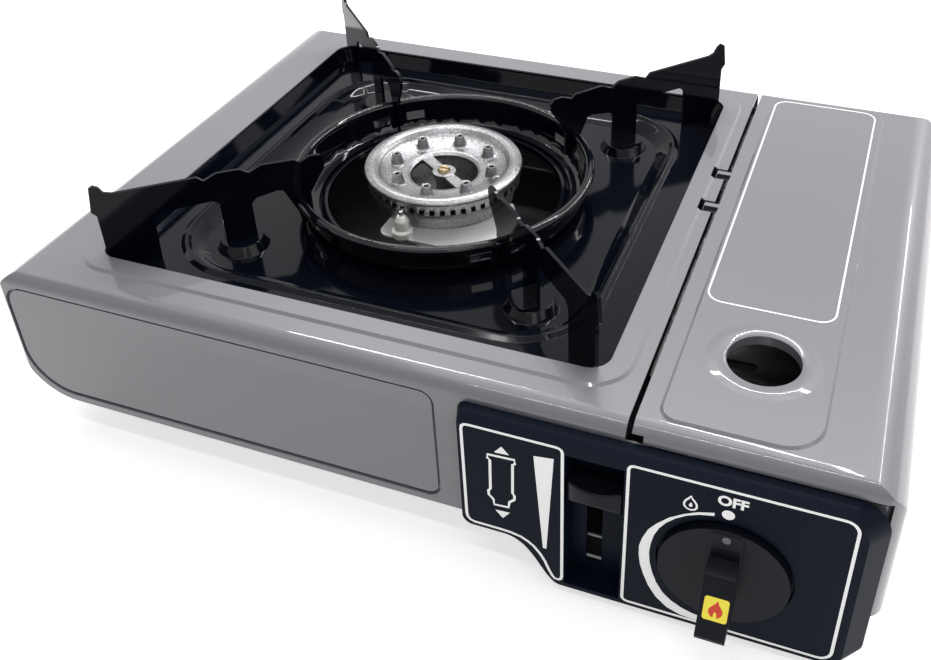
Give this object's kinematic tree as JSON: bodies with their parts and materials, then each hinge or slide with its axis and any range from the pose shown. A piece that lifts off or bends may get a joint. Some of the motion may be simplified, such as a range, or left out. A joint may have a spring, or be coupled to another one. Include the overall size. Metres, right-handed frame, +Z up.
{
  "type": "butane cassette stove",
  "caption": "Flat table stove with a round burner in a drip tray, a four-blade pan support, a hinged cover over the cartridge bay and a front panel with knob and lever.",
  "frame": {"origin": "on the table under the middle of the footprint, knob included", "axes": "+X to the right of the person at the knob, +Y to the back, +Z up"},
  "size_m": [0.3486, 0.275, 0.1186],
  "materials": {
    "body_paint": "gloss grey enamel paint",
    "zinc_sheet": "bright zinc-plated sheet",
    "foot_rubber": "matt black",
    "black_enamel": "gloss black enamel",
    "panel_plastic": "fine-grained satin, blue-black",
    "knob_plastic": "smooth satin",
    "burner_metal": "die-cast, satin",
    "brass_metal": "turned",
    "ceramic_white": "white glazed ceramic",
    "steel_rod": "drawn steel",
    "valve_metal": "die-cast, matt",
    "igniter_plastic": "matt black",
    "lead_rubber": "matt silicone sleeve",
    "warm_sheet": "mill finish"
  },
  "bodies": {
    "root": {"body_shell": "body_paint", "base_plate": "body_paint", "feet": "foot_rubber", "drip_tray": "black_enamel", "bay_frame": "zinc_sheet", "control_panel": "panel_plastic", "burner_head": "burner_metal", "burner_base": "burner_metal", "burner_screw": "brass_metal", "burner_bracket": "zinc_sheet", "burner_support": "zinc_sheet", "electrode_ceramic": "ceramic_white", "electrode_pin": "steel_rod", "mixing_tube": "steel_rod", "gas_nozzle": "brass_metal", "valve_body": "valve_metal", "valve_cap": "zinc_sheet", "cartridge_collar": "zinc_sheet", "igniter": "igniter_plastic", "igniter_lead": "lead_rubber", "warming_plate": "warm_sheet", "valve_screws": "steel_rod", "base_screws": "steel_rod", "panel_screws": "steel_rod"},
    "lid": {"lid": "body_paint"},
    "knob": {"knob": "knob_plastic", "valve_spindle": "steel_rod", "igniter_cam": "igniter_plastic"},
    "lock_lever": {"lock_lever": "knob_plastic", "lever_cam_plate": "zinc_sheet"},
    "pusher": {"cartridge_pusher": "zinc_sheet"},
    "trivet": {"trivet_ring": "black_enamel", "trivet_blades": "black_enamel"}
  },
  "joints": [
    {"name": "lid_hinge", "type": "hinge", "parent": "root", "child": "lid", "pos_m": [0.0862, 0.0382, 0.0869], "axis": [0, -1, 0], "range_deg": [0, 95]},
    {"name": "knob_turn", "type": "hinge", "parent": "root", "child": "knob", "pos_m": [0.1226, -0.1179, 0.0388], "axis": [0, -1, 0], "range_deg": [0, 180]},
    {"name": "lever_slide", "type": "slide", "parent": "root", "child": "lock_lever", "axis": [0, 0, -1], "range_m": [0, 0.022]},
    {"name": "pusher_slide", "type": "slide", "parent": "root", "child": "pusher", "axis": [0, -1, 0], "range_m": [0, 0.008]},
    {"name": "trivet_lift", "type": "slide", "parent": "root", "child": "trivet", "axis": [0, 0, 1], "range_m": [0, 0.06]}
  ],
  "couplings": [
    {"joint": "pusher_slide", "follows": "lever_slide", "ratio": 0.36364}
  ]
}
